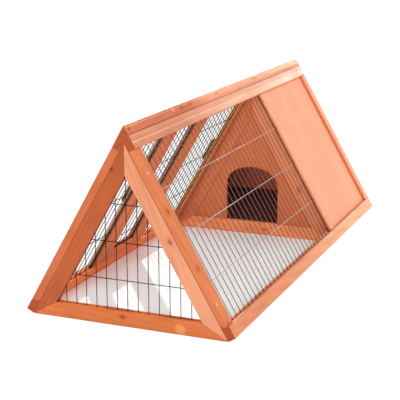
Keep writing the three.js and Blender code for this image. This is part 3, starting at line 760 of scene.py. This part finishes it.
def dress_wood():
    for i, (name, (tone, grain, extra)) in enumerate(TIMBER.items()):
        dress(name, wood(name, tone, grain, seed=100 + i, **extra))
    for i, (name, (tone, grain, extra)) in enumerate(BOARDS.items()):
        plain = {"contrast": 0.4, "ring": BOARD_RING, **extra}
        dress(name, wood(name, tone, grain, seed=300 + i, **plain))
    for i in range(1, 5):
        name = f"turn_button_{i}"
        dress(name, wood(name, UMBER, DOWN_LEFT, seed=400 + i, ring=BUTTON_RING))


# ---------------------------------------------------------------- mesh pieces

ROUND_EDGE = math.radians(40)  # edges sharper than this stay sharp
FLAT_EDGE = math.radians(20)


class Build:
    """Vertices and faces gathered for one object."""

    def __init__(self):
        self.points = []
        self.faces = []
        self.finishes = []
        self.current = 0  # the finish of the faces that come next

    def add_face(self, *corners):
        self.faces.append(corners)
        self.finishes.append(self.current)

    def ring(self, centre, across, over, sides):
        """A round of points, given its two half axes."""
        start = len(self.points)
        for k in range(sides):
            angle = 2 * math.pi * k / sides
            self.points.append(centre + across * math.cos(angle) + over * math.sin(angle))
        return list(range(start, start + sides))

    def wall(self, rings):
        """Faces between rings that follow each other."""
        for first, second in zip(rings, rings[1:]):
            for k in range(len(first)):
                after = (k + 1) % len(first)
                self.add_face(first[k], first[after], second[after], second[k])

    def capped_wall(self, rings):
        self.wall(rings)
        self.add_face(*rings[0][::-1])
        self.add_face(*rings[-1])

    def tube(self, path, radius, sides):
        """A closed tube along a nearly straight path."""
        axis = (path[-1] - path[0]).normalized()
        across = axis.orthogonal().normalized() * radius
        over = axis.cross(across)
        self.capped_wall([self.ring(centre, across, over, sides) for centre in path])

    def staple(self, middle, along, into, width, leg, radius, sides):
        """A bent wire: a crown along one way and two legs driven the other way."""
        over = along.cross(into) * radius
        half = along * (width / 2)
        stations = (
            (middle - half + into * leg, -along),
            (middle - half, -along - into),
            (middle + half, along - into),
            (middle + half + into * leg, along),
        )
        self.capped_wall([self.ring(at, outer * radius, over, sides) for at, outer in stations])

    def nugget(self, centre, radii, axes, rows, sides):
        """A small ellipsoid where two wires are welded."""
        across, over, pole = (axis * radius for axis, radius in zip(axes, radii))
        self.points.append(centre + pole)
        top = len(self.points) - 1
        rings = []
        for i in range(1, rows):
            tilt = math.pi * i / rows
            middle = centre + pole * math.cos(tilt)
            sine = math.sin(tilt)
            rings.append(self.ring(middle, across * sine, over * sine, sides))
        self.points.append(centre - pole)
        tip = len(self.points) - 1
        self.wall(rings)
        for k in range(sides):
            after = (k + 1) % sides
            self.add_face(top, rings[0][after], rings[0][k])
            self.add_face(tip, rings[-1][k], rings[-1][after])

    def finish(self, name, materials, body, slot, smooth=ROUND_EDGE):
        """The object itself, which rides on a body. The slot argument is not used."""
        mesh = bpy.data.meshes.new(name)
        mesh.from_pydata(self.points, [], self.faces)
        for material in materials:
            mesh.materials.append(material)
        for face, finish in zip(mesh.polygons, self.finishes):
            face.material_index = finish
        work = bmesh.new()
        work.from_mesh(mesh)
        bmesh.ops.recalc_face_normals(work, faces=work.faces)
        work.to_mesh(mesh)
        work.free()
        for face in mesh.polygons:
            face.use_smooth = True
        mesh.set_sharp_from_angle(angle=smooth)
        piece = bpy.data.objects.new(name, mesh)
        bpy.context.scene.collection.objects.link(piece)
        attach(piece, body)
        return piece


WIRE_SIDES = 12
WIRE_STEP = 20 * MM
WIRE_STRAY = 0.12 * MM  # how far a wire strays from straight between welds
EDGE_WIRE_RISE = 1.2 * MM
NUGGET = (1.15 * MM, 1.15 * MM, 0.75 * MM)
NUGGET_ROWS = 5
NUGGET_SIDES = 8
CROWN = 6 * MM  # a staple's width
STAPLE = 1.5 * MM  # its wire
STAPLE_LEG = 5 * MM
STAPLE_SIDES = 10


def wire_path(start, end, dice):
    """Points along a wire that is not quite straight."""
    steps = max(2, round((end - start).length / WIRE_STEP))
    axis = (end - start).normalized()
    across = axis.orthogonal().normalized()
    over = axis.cross(across)
    path = []
    for i in range(steps + 1):
        stray = 0.0 if i in (0, steps) else WIRE_STRAY
        shift = across * dice.uniform(-stray, stray) + over * dice.uniform(-stray, stray)
        path.append(start.lerp(end, i / steps) + shift)
    return path


def add_wire(build, start, end, dice):
    build.tube(wire_path(start, end, dice), WIRE / 2, WIRE_SIDES)


def bay_wires(side, start, end, near, far, runs, first_wire, seed):
    """The wires up the slope and along it, for a bay between grooved timbers."""
    dice = random.Random(seed)
    build = Build()
    axes = (down(side), Vector((0, 1, 0)), outward(side))
    places = []
    y = near + first_wire
    while y < far - WIRE:
        places.append(y)
        y += PITCH
    for y in places:
        top = on_slope(side, start - REACH, y, CROSS_DEPTH)
        foot = on_slope(side, end + REACH, y, CROSS_DEPTH)
        add_wire(build, top, foot, dice)

    def lengthwise(s):
        first = on_slope(side, s, near - REACH, RUN_DEPTH)
        last = on_slope(side, s, far + REACH, RUN_DEPTH)
        add_wire(build, first, last, dice)

    # On the right the lengthwise wires take the lit copy of the wire, a painted highlight
    build.current = 1 if side == RIGHT else 0
    for s in runs:
        lengthwise(s)
        for y in places:
            middle = on_slope(side, s, y, (CROSS_DEPTH + RUN_DEPTH) / 2)
            build.nugget(middle, NUGGET, axes, NUGGET_ROWS, NUGGET_SIDES)
    # The sheet's edge wire lies in the mouth of the bottom groove on the left side, in near black:
    # painted shade for the groove's shadowed inside
    if side == LEFT:
        build.current = 2
        lengthwise(end - EDGE_WIRE_RISE)
    return build


def gable_wires(near_y, far_y, seed):
    """Level wires at near_y, uprights just behind, cut to the groove of the mesh gable."""
    dice = random.Random(seed)
    build = Build()
    depth = GABLE_INNER - SLOT_DEEP + SEAT
    base = GABLE_WIDE - SLOT_DEEP + SEAT
    places = []
    x = GABLE_LAST_WIRE
    while x > -half_width(depth, base):
        if abs(x) < half_width(depth, base) - WIRE:
            places.append(x)
        x -= PITCH
    for x in places:
        top = height_at(depth, abs(x)) - WIRE
        add_wire(build, Vector((x, far_y, base)), Vector((x, far_y, top)), dice)
    axes = (Vector((1, 0, 0)), Vector((0, 0, 1)), Vector((0, 1, 0)))
    for height in [base + WIRE / 2 + SEAT, *GABLE_RUNS]:
        half = half_width(depth, height) - WIRE / 2
        add_wire(build, Vector((-half, near_y, height)), Vector((half, near_y, height)), dice)
        for x in places:
            if abs(x) < half - WIRE:
                middle = Vector((x, (near_y + far_y) / 2, height))
                build.nugget(middle, NUGGET, axes, NUGGET_ROWS, NUGGET_SIDES)
    return build


def opening(front_stile, rear_stile):
    """Where a bay starts and ends along the ridge, between two stiles."""
    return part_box(front_stile)[1].y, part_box(rear_stile)[0].y


def add_meshes():
    shaded_side_metal = wire_metal("side_wire", SHADED_SIDE_WIRE)
    shade_metal = wire_metal("shade_wire", SHADE_WIRE, gloss=0.0)
    lit_metal = wire_metal("lit_wire", LIT_WIRE, gloss=0.1)
    shaded_front_metal = wire_metal("front_wire", SHADED_FRONT_WIRE, gloss=0.0)
    right_bay = opening("right_front_stile", "right_shelter_stile")
    front_bay = opening("left_front_stile", "left_door_front_stile")
    rear_bay = opening("left_door_rear_stile", "left_shelter_stile")
    door_bay = opening("mesh_door_front_stile", "mesh_door_rear_stile")
    full = (TOP_RAIL_END, BOTTOM_RAIL_START)
    door = (DOOR_HEAD, DOOR_FOOT)
    bays = {
        "right_mesh": (RIGHT, *full, *right_bay, RIGHT_RUNS, RIGHT_FIRST_WIRE),
        "left_front_mesh": (LEFT, *full, *front_bay, LEFT_RUNS, LEFT_FIRST_WIRE),
        "left_rear_mesh": (LEFT, *full, *rear_bay, LEFT_RUNS, LEFT_FIRST_WIRE),
        "mesh_door_mesh": (LEFT, *door, *door_bay, DOOR_RUNS, LEFT_FIRST_WIRE),
    }
    for i, (node, bay) in enumerate(bays.items()):
        body = "mesh_door" if node == "mesh_door_mesh" else "run_frame"
        # The wires up the slope take a shaded copy of the wire, painted shade
        upright = shaded_side_metal if node == "right_mesh" else shade_metal
        metals = [upright, lit_metal, shaded_front_metal]
        wires = bay_wires(*bay, seed=500 + i).finish(f"{node}_wires", metals, body, "side_wire")
        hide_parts(node)
    low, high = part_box("front_mesh")
    wires = gable_wires(low.y + WIRE / 2, high.y - WIRE / 2, seed=520)
    piece = wires.finish("front_mesh_wires", [shaded_front_metal], "run_frame", "front_wire")
    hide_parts("front_mesh")
    add_staples(right_bay, shaded_front_metal)


def add_staples(bay, metal):
    """Staples over the ends of the right mesh's lengthwise wires."""
    build = Build()
    for s in RIGHT_RUNS:
        for y, into in zip(bay, (-1, 1)):
            middle = on_slope(RIGHT, s, y - into * STAPLE / 2, RUN_DEPTH - WIRE / 2)
            ways = (down(RIGHT), Vector((0, into, 0)))
            build.staple(middle, *ways, CROWN, STAPLE_LEG, STAPLE / 2, STAPLE_SIDES)
    build.finish("mesh_staples", [metal], "run_frame", "front_wire")


# ---------------------------------------------------------------- screws

HEAD_RADIUS = 3.6 * MM
HEAD_RISE = 0.3 * MM
HEAD_DROP = 0.5 * MM
HEAD_BEVEL = 0.5 * MM
HEAD_SUNK = 0.1 * MM
HEAD_SIDES = 24
CROSS_LONG = 2.0 * MM
CROSS_WIDE = 0.55 * MM
CROSS_DEEP = 0.8 * MM
CROSS_TAPER = 0.7  # the recess's floor over its mouth

# The stiles' screws: side, place along the ridge, the upper screw's place down the slope and
# how deep the stile's face lies
SCREW_ROWS = (
    (RIGHT, -577 * MM, 110 * MM, STILE_RECESS),
    (LEFT, -570 * MM, 107 * MM, 0.0),
    (RIGHT, 209 * MM, 107 * MM, STILE_RECESS),
    (LEFT, 200 * MM, 107 * MM, STILE_RECESS),
    (RIGHT, 573 * MM, 107 * MM, 0.0),
    (LEFT, 573 * MM, 107 * MM, STILE_RECESS),
)
LOWER_SCREW = 419 * MM


def screw_head(build, centre, right, ahead, out):
    """A flat head with a bevelled rim and a cross recess."""

    def point(x, y, lift):
        build.points.append(centre + right * x + ahead * y + out * lift)
        return len(build.points) - 1

    rim = ((HEAD_RADIUS, -HEAD_DROP), (HEAD_RADIUS, 0), (HEAD_RADIUS - HEAD_BEVEL, HEAD_RISE))
    rings = [
        build.ring(centre + out * lift, right * radius, ahead * radius, HEAD_SIDES)
        for radius, lift in rim
    ]
    build.wall(rings)

    # The cross has twelve corners, two of the head's rim points for each
    long, slim = CROSS_LONG, CROSS_WIDE
    corners = [(long, -slim), (long, slim), (slim, slim), (slim, long), (-slim, long)]
    corners += [(-slim, slim), (-long, slim), (-long, -slim), (-slim, -slim)]
    corners += [(-slim, -long), (slim, -long), (slim, -slim)]
    floor = HEAD_RISE - CROSS_DEEP
    top = [point(x, y, HEAD_RISE) for x, y in corners]
    bottom = [point(x * CROSS_TAPER, y * CROSS_TAPER, floor) for x, y in corners]
    outer = rings[-1]
    for k in range(len(corners)):
        after = (k + 1) % len(corners)
        first, second, third = ((2 * k - 1 + i) % HEAD_SIDES for i in range(3))
        build.add_face(outer[first], outer[second], outer[third], top[after], top[k])
        build.add_face(top[k], top[after], bottom[after], bottom[k])
    build.add_face(*bottom[:3], bottom[11])
    build.add_face(*bottom[2:6])
    build.add_face(*bottom[5:9])
    build.add_face(*bottom[8:12])
    build.add_face(bottom[2], bottom[5], bottom[8], bottom[11])
    build.add_face(*rings[0][::-1])


def add_screws():
    """Cross-head screws, flush in the faces of the stiles, each turned by chance."""
    build = Build()
    dice = random.Random(640)
    for side, y, upper, recess in SCREW_ROWS:
        for s in (upper, LOWER_SCREW):
            turn = dice.uniform(0, 1.5)
            along, across = down(side), Vector((0, 1, 0))
            right = along * math.cos(turn) + across * math.sin(turn)
            ahead = across * math.cos(turn) - along * math.sin(turn)
            centre = on_slope(side, s, y, recess - HEAD_SUNK)
            screw_head(build, centre, right, ahead, outward(side))
    metal = wire_metal("screw_zinc", ZINC, metallic=0.5)
    build.finish("stile_screws", [metal], "run_frame", "zinc", smooth=FLAT_EDGE)


def dress_metal():
    zinc = wire_metal("zinc", ZINC, metallic=0.9)
    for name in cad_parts:
        if "hinge" in name or name.startswith("button_screw"):
            dress(name, zinc)


add_camera()
add_stage()
dress_wood()
dress_metal()
add_meshes()
add_screws()
